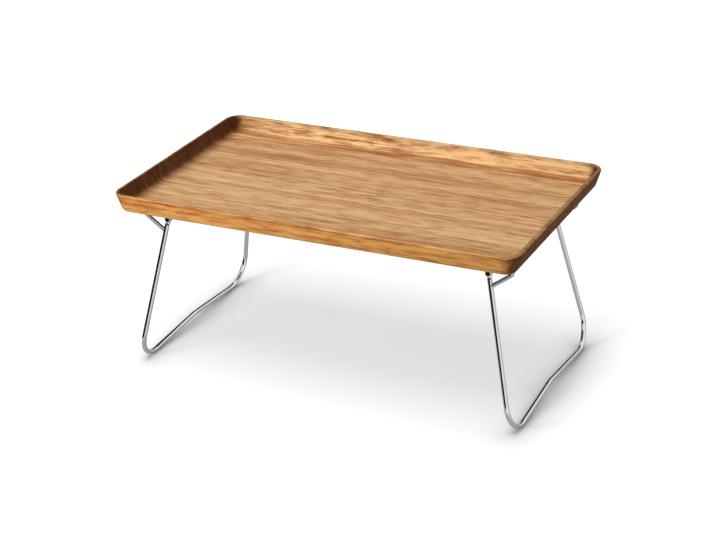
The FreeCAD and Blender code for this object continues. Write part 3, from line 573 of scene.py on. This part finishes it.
    def finish(self, graph: Graph) -> None:
        """Join rings, fibres, pores, streaks, seams, end grain and painted shade into the group's
        outputs.

        Args:
            graph: the group's graph.
        """
        streaks, fibres, pores = (self.pattern(graph, grain) for grain in (STREAKS, FIBRES, PORES))
        seam, pale = self.edges(graph)
        sides = self.sides(graph)
        end_grain_and_cove_shade = sides[-1]
        dark = self.figure(graph, streaks, fibres, pores)
        dark = graph.calc("SUBTRACT", dark, graph.calc("MULTIPLY", pale, self.PALE_LIFT))
        dark = graph.calc("MULTIPLY_ADD", seam, self.SEAM_DARK, dark)
        dark = graph.calc("MULTIPLY_ADD", end_grain_and_cove_shade, self.END_DARK, dark, clamp=True)
        graph.feed(self.exit.inputs["Colour"], self.colour(graph, dark, streaks, sides))

        rough = graph.spread(fibres, *self.FIBRE_ROUGHNESS)
        rough = graph.calc("MULTIPLY_ADD", pores, self.PORE_ROUGHNESS, rough)
        rough = graph.calc("MULTIPLY_ADD", end_grain_and_cove_shade, self.END_ROUGHNESS, rough)
        graph.feed(self.exit.inputs["Roughness"], rough)
        relief = graph.calc("MULTIPLY", fibres, self.FIBRE_HEIGHT)
        relief = graph.calc("MULTIPLY_ADD", pores, -self.PORE_DEPTH, relief)
        relief = graph.calc("MULTIPLY_ADD", seam, -self.SEAM_DEPTH, relief)
        graph.feed(self.exit.inputs["Height"], relief)


class PolishGroup:
    """Handling marks on plated metal: roughness, colour and height from fine, uneven noise.

    Roughness = base + spread * n1 and colour runs from clean to dull by n1, with n1 a cloudy noise
    that stands for wiped fingerprints. Height = n1 + 0.4 * n2, with n2 a finer noise that stands
    for the drawn wire's waviness under the plating.
    """

    NAME = "PlatedSurface"

    def __init__(self) -> None:
        """Build the group once."""
        self.tree, graph, given, exit_node = new_group(
            self.NAME,
            {"Point": ("Vector", None), "Base": ("Float", 0.06), "Spread": ("Float", 0.1),
             "Clean": ("Color", (0.9, 0.9, 0.9, 1.0)), "Dull": ("Color", (0.7, 0.7, 0.7, 1.0))},
            {"Colour": "Color", "Roughness": "Float", "Height": "Float"})
        clouds, waves = (grain.noise(graph, given["Point"]).outputs["Fac"]
                         for grain in (FINGERMARKS, WAVINESS))
        worn = graph.spread(clouds, *FINGERMARKS.ends, smooth=True)
        rough = graph.calc("MULTIPLY_ADD", worn, given["Spread"], given["Base"])
        height = graph.calc("MULTIPLY_ADD", waves, WAVINESS.weight, clouds)
        graph.feed(exit_node.inputs["Roughness"], rough)
        graph.feed(exit_node.inputs["Colour"], graph.mix(worn, given["Clean"], given["Dull"]))
        graph.feed(exit_node.inputs["Height"], height)


# ---------------------------------------------------------------- finishes


def start_material(name: str) -> tuple[bpy.types.Material, Graph, bpy.types.Node, bpy.types.Node]:
    """A material with a Principled shader and Object coordinates.

    Args:
        name: the material's name.

    Returns:
        The material, its graph, the Principled node and the coordinates node.
    """
    material = bpy.data.materials.new(name)
    material.use_nodes = True
    graph = Graph(material.node_tree)
    output = graph.add("ShaderNodeOutputMaterial")
    shader = graph.add("ShaderNodeBsdfPrincipled")
    graph.feed(output.inputs["Surface"], shader.outputs["BSDF"])
    coordinates = graph.add("ShaderNodeTexCoord")
    return material, graph, shader, coordinates


def add_bump(graph: Graph, shader: bpy.types.Node, height: bpy.types.NodeSocket, distance: float,
             strength: float) -> None:
    """Bend a shader's normal by a height.

    Args:
        graph: the material's graph.
        shader: its Principled node.
        height: the height's socket.
        distance: the height's depth in metres.
        strength: the bump's share.
    """
    bump = graph.add("ShaderNodeBump")
    bump.inputs["Distance"].default_value = distance
    bump.inputs["Strength"].default_value = strength
    graph.feed(bump.inputs["Height"], height)
    graph.feed(shader.inputs["Normal"], bump.outputs["Normal"])


@dataclass(frozen=True)
class OakFinish:
    """Lacquered oak of one stave, with lengths in millimetres.

    Attributes:
        name: the material's name.
        light: early wood.
        dark: late wood.
        pith_y: how far behind the stave's middle the growth rings' centre lies. Far to the side it
            gives straight lines on the tray's floor.
        pith_z: how far above the stave's middle it lies.
        ring_width: from ring to ring.
        upright: how much the grain changes up and down, against front to back.
        figure: how strong the grain is.
        pale_edge: share of sapwood beside the front seam.
        heart: colour of the heart streak.
        heart_y: how far behind the stave's middle it runs.
        heart_width: from its line to where it ends.
        heart_share: how much of it shows.
    """

    name: str
    light: Colour
    dark: Colour
    pith_y: float
    pith_z: float
    ring_width: float = 2.4
    upright: float = 0.3
    figure: float = 1.0
    pale_edge: float = 0.0
    heart: Colour = (0.3, 0.12, 0.04)
    heart_y: float = 0.0
    heart_width: float = 8.0
    heart_share: float = 0.0

    SPECULAR: ClassVar[float] = 0.14
    COAT: ClassVar[float] = 0.03
    COAT_ROUGHNESS: ClassVar[float] = 0.35
    PORE_BUMP: ClassVar[float] = 0.12 * MM
    BUMP_SHARE: ClassVar[float] = 0.5

    def make(self, group: OakGroup, front: float, back: float, number: int) -> bpy.types.Material:
        """Build the stave's material.

        Args:
            group: the shared solid oak group.
            front: Y of the stave's front seam, in metres.
            back: Y of its back seam, in metres.
            number: the stave's number, which sets where its noise is taken from.

        Returns:
            The material.
        """
        material, graph, shader, coordinates = start_material(self.name)
        oak = graph.add("ShaderNodeGroup", node_tree=group.tree)
        graph.feed(oak.inputs["Point"], coordinates.outputs["Object"])
        graph.feed(oak.inputs["Facing"], coordinates.outputs["Normal"])
        middle = (front + back) / 2
        settings = {
            "Pith": (0.0, middle + self.pith_y * MM, BOARD_MIDDLE + self.pith_z * MM),
            "Seed": tuple(step * number for step in SEED_STEP),
            "Ring Width": self.ring_width * MM, "Upright": self.upright, "Figure": self.figure,
            "Light Wood": (*self.light, 1.0), "Dark Wood": (*self.dark, 1.0),
            "Heart Wood": (*self.heart, 1.0), "Heart Line": middle + self.heart_y * MM,
            "Heart Width": self.heart_width * MM, "Heart Share": self.heart_share,
            "Front Seam": front, "Back Seam": back, "Pale Edge": self.pale_edge}
        for socket, value in settings.items():
            oak.inputs[socket].default_value = value
        graph.feed(shader.inputs["Base Color"], oak.outputs["Colour"])
        graph.feed(shader.inputs["Roughness"], oak.outputs["Roughness"])
        shader.inputs["Specular IOR Level"].default_value = self.SPECULAR
        shader.inputs["Coat Weight"].default_value = self.COAT
        shader.inputs["Coat Roughness"].default_value = self.COAT_ROUGHNESS
        add_bump(graph, shader, oak.outputs["Height"], self.PORE_BUMP, self.BUMP_SHARE)
        return material


@dataclass(frozen=True)
class PlatedFinish:
    """Plated steel.

    Attributes:
        name: the material's name.
        clean: its colour where it is clean.
        dull: its colour under handling marks.
        roughness: the roughness where it is clean.
        wear: what handling marks add to it.
    """

    name: str
    clean: Colour
    dull: Colour
    roughness: float
    wear: float

    WAVE_BUMP: ClassVar[float] = 0.01 * MM
    BUMP_SHARE: ClassVar[float] = 0.3

    def make(self, group: PolishGroup) -> bpy.types.Material:
        """Build the material.

        Args:
            group: the shared plated surface group.

        Returns:
            The material.
        """
        material, graph, shader, coordinates = start_material(self.name)
        plating = graph.add("ShaderNodeGroup", node_tree=group.tree)
        graph.feed(plating.inputs["Point"], coordinates.outputs["Object"])
        settings = {"Base": self.roughness, "Spread": self.wear,
                    "Clean": (*self.clean, 1.0), "Dull": (*self.dull, 1.0)}
        for socket, value in settings.items():
            plating.inputs[socket].default_value = value
        graph.feed(shader.inputs["Base Color"], plating.outputs["Colour"])
        graph.feed(shader.inputs["Roughness"], plating.outputs["Roughness"])
        shader.inputs["Metallic"].default_value = 1.0
        add_bump(graph, shader, plating.outputs["Height"], self.WAVE_BUMP, self.BUMP_SHARE)
        return material


class Plating(Enum):
    """The metal finishes to choose from."""

    CHROME = PlatedFinish("ChromedWire", linear(250, 250, 251), linear(238, 239, 241), 0.03, 0.04)
    NICKEL = PlatedFinish("NickelledSheet", linear(226, 227, 229), linear(196, 197, 200), 0.12, 0.1)
    # Near-black steel: on the pivot rivets a painted dark reflection, standing in for the tray's
    # underside mirrored at the legs' tops.
    REFLECTION_DARK = PlatedFinish("ReflectionDarkSteel", linear(46, 46, 48), linear(30, 30, 32), 0.28, 0.15)
    ZINC = PlatedFinish("ZincPlate", linear(170, 171, 173), linear(130, 131, 134), 0.2, 0.15)


TAN = linear(222, 182, 134)
PALE_TAN = linear(227, 186, 138)
WARM_TAN = linear(215, 171, 123)
PINK_TAN = linear(218, 174, 125)
HONEY = linear(238, 198, 142)
BROWN = linear(162, 110, 62)
RED_BROWN = linear(146, 90, 46)
PALE_HEART = linear(176, 124, 80)
BROWN_HEART = linear(170, 118, 72)
HEART_RED = linear(160, 98, 54)
DARK_HEART = linear(150, 88, 44)

STAVES = (
    OakFinish("OakStave1", WARM_TAN, BROWN, 10.0, -55.0, ring_width=3.0, upright=1.0),
    OakFinish("OakStave2", WARM_TAN, BROWN, -240.0, 30.0, figure=1.1),
    OakFinish("OakStave3", PALE_TAN, BROWN, 260.0, -20.0, figure=0.9),
    OakFinish("OakStave4", TAN, BROWN, 210.0, 40.0, figure=1.1, heart=PALE_HEART, heart_y=6.0,
              heart_width=10.0, heart_share=0.5),
    OakFinish("OakStave5", TAN, BROWN, -230.0, 60.0, figure=1.1, pale_edge=1.0),
    OakFinish("OakStave6", WARM_TAN, BROWN, 250.0, -50.0, figure=1.1),
    OakFinish("OakStave7", TAN, BROWN, -220.0, -30.0, figure=1.1, pale_edge=0.45,
              heart=BROWN_HEART, heart_y=6.0, heart_width=14.0, heart_share=0.75),
    OakFinish("OakStave8", PINK_TAN, RED_BROWN, 180.0, 60.0, pale_edge=0.5, heart=HEART_RED,
              heart_y=24.0, heart_width=11.0, heart_share=0.6),
    OakFinish("OakStave9", HONEY, RED_BROWN, -12.0, -45.0, ring_width=3.2, upright=1.0, figure=1.2,
              heart=DARK_HEART, heart_y=-6.0, heart_width=13.0, heart_share=0.8),
)


# ---------------------------------------------------------------- the bed tray


def dress(node: bpy.types.Object, material: bpy.types.Material) -> None:
    """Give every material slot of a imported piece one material.

    Args:
        node: the piece.
        material: its material.
    """
    for slot in node.material_slots:
        slot.material = material
    if not node.material_slots:
        node.data.materials.append(material)


@dataclass
class OakTray:
    """The nine staves, each with its own board of oak."""

    nodes: dict[str, bpy.types.Object]

    def build(self) -> None:
        """Dress the staves from front to back."""
        group = OakGroup()
        for number, finish in enumerate(STAVES, start=1):
            name = "tray_stave_%d" % number
            low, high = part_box(name)
            dress(self.nodes[name], finish.make(group, low.y, high.y, number))
            LOG.info("%s: %s, %.0f mm wide", name, finish.name, (high.y - low.y) / MM)


@dataclass
class PlatingShop:
    """Makes each plating's material once, from the shared surface group."""

    group: PolishGroup
    made: dict[Plating, bpy.types.Material] = field(default_factory=dict)

    def plate(self, plating: Plating) -> bpy.types.Material:
        """Give a plating's material.

        Args:
            plating: the finish that is wanted.

        Returns:
            Its material, made at the first call.
        """
        if plating not in self.made:
            self.made[plating] = plating.value.make(self.group)
        return self.made[plating]


@dataclass
class MetalFittings:
    """Metal pieces of one kind, named by how their names start, in one plating."""

    nodes: dict[str, bpy.types.Object]
    shop: PlatingShop
    kind: str = ""
    plating: Plating = Plating.ZINC

    def build(self) -> None:
        """Dress every piece of the kind."""
        material = self.shop.plate(self.plating)
        for name in sorted(self.nodes):
            if name.startswith(self.kind):
                dress(self.nodes[name], material)
                LOG.info("%s: %s", name, material.name)


@dataclass
class LegFrames(MetalFittings):
    """The two bent wire legs."""

    kind: str = "leg_frame"
    plating: Plating = Plating.CHROME


@dataclass
class StopRods(MetalFittings):
    """The four short rods that the open legs lean on."""

    kind: str = "stop_rod"
    plating: Plating = Plating.CHROME


@dataclass
class HingeBrackets(MetalFittings):
    """The four pressed brackets under the tray."""

    kind: str = "hinge_bracket"
    plating: Plating = Plating.NICKEL


@dataclass
class PivotRivets(MetalFittings):
    """The four rivets that the legs turn on; their near-black plating is a painted dark reflection
    of the tray's underside.
    """

    kind: str = "pivot_rivet"
    plating: Plating = Plating.REFLECTION_DARK


@dataclass
class BracketScrews(MetalFittings):
    """The eight screws through the brackets."""

    kind: str = "bracket_screws"


@dataclass
class StopScrews(MetalFittings):
    """The eight screws through the stop rods' plates."""

    kind: str = "stop_screws"


# ---------------------------------------------------------------- studio


def seen_ray(graph: Graph) -> bpy.types.NodeSocket:
    """Tell rays that look at something from rays that only carry light.

    Args:
        graph: a material's or the world's graph.

    Returns:
        1 for camera, glossy and transmission rays, 0 for others.
    """
    path = graph.add("ShaderNodeLightPath")
    either = graph.calc("MAXIMUM", path.outputs["Is Camera Ray"], path.outputs["Is Glossy Ray"])
    return graph.calc("MAXIMUM", either, path.outputs["Is Transmission Ray"])


@dataclass(frozen=True)
class Flag:
    """A panel round the set that the bright metal mirrors as dark.

    It covers the directions whose bearing, less lean times rise, and whose rise lie within its
    limits, and holds back a share of their white.

    Attributes:
        name: where the panel stands.
        bearing: its limits by bearing, in radians.
        rise: its limits by rise, from -1 to 1.
        share: the share of white that it holds back.
        lean: how much its bearing limits move with the rise.
        soft: half the width of its soft edges, by bearing and by rise.
    """

    name: str
    bearing: Span
    rise: Span
    share: float
    lean: float = 0.0
    soft: Span = (0.06, 0.03)

    def cover(self, graph: Graph, bearing: bpy.types.NodeSocket,
              rise: bpy.types.NodeSocket) -> bpy.types.NodeSocket:
        """The share that the flag holds back in a direction.

        Args:
            graph: the world's graph.
            bearing: the direction's bearing, in radians.
            rise: its rise, from -1 to 1.

        Returns:
            The share's socket.
        """
        leaning = graph.calc("MULTIPLY_ADD", rise, -self.lean, bearing)
        held: object = self.share
        for value, (start, end), soft in ((leaning, self.bearing, self.soft[0]),
                                          (rise, self.rise, self.soft[1])):
            inside = graph.spread(value, start - soft, start + soft)
            held = graph.calc("MULTIPLY", held, inside)
            inside = graph.spread(value, end - soft, end + soft, 1.0, 0.0)
            held = graph.calc("MULTIPLY", held, inside)
        return held


FLAGS = (
    Flag("left", (-2.2, 0.45), (-0.37, 0.10), 0.99, lean=1.23, soft=(0.04, 0.02)),
    Flag("left_high", (-2.2, -0.85), (0.05, 0.45), 0.97),
    Flag("right", (1.6, 2.0), (-0.46, 0.10), 0.5, soft=(0.12, 0.03)),
    Flag("rear_left", (-4.0, -2.25), (0.15, 0.82), 0.97),
    Flag("rear_right", (2.9, 4.0), (0.15, 0.82), 0.97),
    Flag("behind_left", (-4.0, -2.1), (-0.50, 0.10), 0.5, soft=(0.1, 0.03)),
    Flag("behind_right", (2.1, 4.0), (-0.50, 0.10), 0.5, soft=(0.1, 0.03)),
    Flag("front_low", (-0.2, 1.35), (-0.68, -0.43), 0.5, soft=(0.1, 0.04)),
    Flag("floor_left", (-4.0, 0.0), (-2.0, -0.44), 0.55),
    Flag("floor_front", (-0.1, 1.5), (-2.0, -0.58), 0.55),
    Flag("floor_right", (1.45, 4.0), (-2.0, -0.44), 0.55),
    Flag("foot_left", (-4.0, -2.3), (-0.78, -0.48), 0.75),
    Flag("foot_right", (2.4, 4.0), (-0.78, -0.48), 0.75),
)


LAMP_TARGET = (0.0, 0.0, 0.2)


@dataclass(frozen=True)
class Lamp:
    """A white soft lamp, which the metal doesn't mirror: it mirrors the white surroundings.

    Attributes:
        name: the lamp's name.
        place: where it hangs.
        sides: its sides, in metres.
        power: in watts.
        aimed: whether it points at the tray. Otherwise it faces down, its sides along X and Y.
    """

    name: str
    place: Vec3
    sides: Span
    power: float
    aimed: bool = False

    def hang(self) -> None:
        """Put the lamp in the scene."""
        data = bpy.data.lights.new(self.name, "AREA")
        data.shape = "RECTANGLE"
        data.size, data.size_y = self.sides
        data.energy = self.power
        lamp = bpy.data.objects.new(self.name, data)
        bpy.context.scene.collection.objects.link(lamp)
        lamp.location = self.place
        lamp.visible_glossy = False
        if self.aimed:
            aim = Vector(LAMP_TARGET) - lamp.location
            lamp.rotation_euler = aim.to_track_quat("-Z", "Y").to_euler()
        LOG.info("lamp %s: %.0f W", self.name, self.power)


LAMPS = (
    Lamp("Overhead", (-0.15, -0.48, 3.3), (1.1, 3.0), 87.0),
    Lamp("Key", (-1.2, -1.85, 0.65), (0.8, 0.8), 38.0, aimed=True),
)


@dataclass
class PhotoCamera:
    """The camera, where the photograph was taken from, its lens for the photograph's frame."""

    place: Vec3 = (1.03185, -2.09381, 1.20841)
    target: Vec3 = (0.0083226, -0.0310154, 0.1459)
    roll_degrees: float = -1.942
    focal_length_px: float = 1809.44
    sensor_mm: float = 36.0
    clip: Span = (0.05, 100.0)

    def build(self) -> None:
        """Stand the camera.

        Its right and up directions come from the sight line f, r = f x z and u = r x f, both then
        turned about f by the roll.
        """
        data = bpy.data.cameras.new("Camera")
        data.sensor_fit = "HORIZONTAL"
        data.sensor_width = self.sensor_mm
        data.lens = self.focal_length_px / FRAME_WIDTH_PX * data.sensor_width
        data.clip_start, data.clip_end = self.clip
        camera = bpy.data.objects.new("Camera", data)
        bpy.context.scene.collection.objects.link(camera)
        place = Vector(self.place)
        sight = (Vector(self.target) - place).normalized()
        right = sight.cross(Vector((0.0, 0.0, 1.0))).normalized()
        up = right.cross(sight)
        roll = math.radians(self.roll_degrees)
        turned_right = right * math.cos(roll) + up * math.sin(roll)
        turned_up = up * math.cos(roll) - right * math.sin(roll)
        turn = Matrix((turned_right, turned_up, -sight)).transposed()
        camera.matrix_world = Matrix.Translation(place) @ turn.to_4x4()
        bpy.context.scene.camera = camera
        LOG.info("camera: %.1f mm lens", data.lens)


@dataclass
class Surroundings:
    """An even pale sky, white to looking rays.

    Reflections show it mirrored_loss darker, with dark flags in it.
    """

    sky_light: float = 0.16
    mirrored_loss: float = 0.2

    def build(self) -> None:
        """Make the world."""
        world = bpy.data.worlds.new("Studio")
        bpy.context.scene.world = world
        world.use_nodes = True
        graph = Graph(world.node_tree)
        output = graph.add("ShaderNodeOutputWorld")
        light = graph.add("ShaderNodeBackground")
        shown = graph.add("ShaderNodeBackground")
        for background in (light, shown):
            background.inputs["Color"].default_value = (1.0, 1.0, 1.0, 1.0)
        light.inputs["Strength"].default_value = self.sky_light
        path = graph.add("ShaderNodeLightPath")
        held = graph.calc("MULTIPLY_ADD", self.flags(graph), 1.0 - self.mirrored_loss,
                          self.mirrored_loss)
        dimmed = graph.calc("MULTIPLY", held, path.outputs["Is Glossy Ray"])
        graph.feed(shown.inputs["Strength"], graph.calc("SUBTRACT", 1.0, dimmed))
        mix = graph.add("ShaderNodeMixShader")
        for socket, value in zip(mix.inputs, (seen_ray(graph), light.outputs[0], shown.outputs[0])):
            graph.feed(socket, value)
        graph.feed(output.inputs["Surface"], mix.outputs[0])
        LOG.info("world: sky %.2f, %d flags", self.sky_light, len(FLAGS))

    @staticmethod
    def flags(graph: Graph) -> bpy.types.NodeSocket:
        """How much of the white the flags hold back, from 0 to 0.99, by direction.

        A direction's bearing is a = atan2(x, -y), 0 to the front and rising towards +X, and its
        rise is z. Where flags overlap, the darkest one counts.

        Args:
            graph: the world's graph.

        Returns:
            The share held back.
        """
        coordinates = graph.add("ShaderNodeTexCoord")
        direction = graph.split(coordinates.outputs["Generated"])
        backward = graph.calc("MULTIPLY", direction["Y"], -1.0)
        bearing = graph.calc("ARCTAN2", direction["X"], backward)
        held: object = 0.0
        for flag in FLAGS:
            held = graph.calc("MAXIMUM", held, flag.cover(graph, bearing, direction["Z"]))
        return held


@dataclass
class StudioFloor:
    """A white floor that runs into white.

    Looking rays see a shadowed floor of one whiteness and a glow that brings the lit floor to
    white. The glow rises with the distance from the tray, over glow_reach, and falls where
    something lies close above the floor, a painted contact shadow. Light that the floor throws
    back is weaker. From below the floor isn't there, so that the underside of the tray can be
    looked at.
    """

    side: float = 16.0
    white: float = 0.6
    bounce: float = 0.14
    glow: float = 0.57
    glow_reach: Span = (0.6, 1.3)
    contact_reach: float = 0.05
    contact_depth: float = 3.0
    contact_samples: int = 8
    roughness: float = 0.9

    def build(self) -> None:
        """Lay the floor."""
        half = self.side / 2
        corners = [(-half, -half, 0), (half, -half, 0), (half, half, 0), (-half, half, 0)]
        mesh = bpy.data.meshes.new("Floor")
        mesh.from_pydata(corners, [], [(0, 1, 2, 3)])
        floor = bpy.data.objects.new("Floor", mesh)
        bpy.context.scene.collection.objects.link(floor)
        mesh.materials.append(self.surface())
        floor.visible_glossy = False
        LOG.info("floor: %.0f m wide", self.side)

    def surface(self) -> bpy.types.Material:
        """Build the floor's material.

        Returns:
            The material.
        """
        material, graph, shader, coordinates = start_material("StudioFloor")
        seen = seen_ray(graph)
        grey = graph.between(seen, self.bounce, self.white)
        shade = graph.add("ShaderNodeCombineColor")
        for channel in shade.inputs:
            graph.feed(channel, grey)
        graph.feed(shader.inputs["Base Color"], shade.outputs[0])
        shader.inputs["Roughness"].default_value = self.roughness
        shader.inputs["Specular IOR Level"].default_value = 0.0
        shader.inputs["Emission Color"].default_value = (1.0, 1.0, 1.0, 1.0)
        away = graph.length(coordinates.outputs["Object"])
        glow = graph.spread(away, *self.glow_reach, self.glow, 1.0, smooth=True)
        # Painted contact shadow: the glow dims where ambient occlusion finds something close above
        # the floor.
        nearby = graph.add("ShaderNodeAmbientOcclusion", samples=self.contact_samples)
        nearby.inputs["Distance"].default_value = self.contact_reach
        painted_contact_shadow = graph.calc("POWER", nearby.outputs["AO"], self.contact_depth)
        glow = graph.calc("MULTIPLY", graph.calc("MULTIPLY", glow, painted_contact_shadow), seen)
        graph.feed(shader.inputs["Emission Strength"], glow)
        side = graph.add("ShaderNodeNewGeometry")
        graph.feed(shader.inputs["Alpha"], graph.calc("SUBTRACT", 1.0, side.outputs["Backfacing"]))
        return material


def main() -> None:
    """Load the frame, dress the tray and set up the studio."""
    logging.basicConfig(level=logging.INFO, format="%(name)s: %(message)s")
    bpy.ops.wm.read_factory_settings(use_empty=True)
    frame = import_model()
    nodes = frame["nodes"]
    OakTray(nodes).build()
    shop = PlatingShop(PolishGroup())
    for fittings in (LegFrames, StopRods, HingeBrackets, PivotRivets, BracketScrews, StopScrews):
        fittings(nodes, shop).build()
    PhotoCamera().build()
    for lamp in LAMPS:
        lamp.hang()
    Surroundings().build()
    StudioFloor().build()
    bpy.context.scene.view_settings.view_transform = "Standard"


if __name__ == "__main__":
    main()
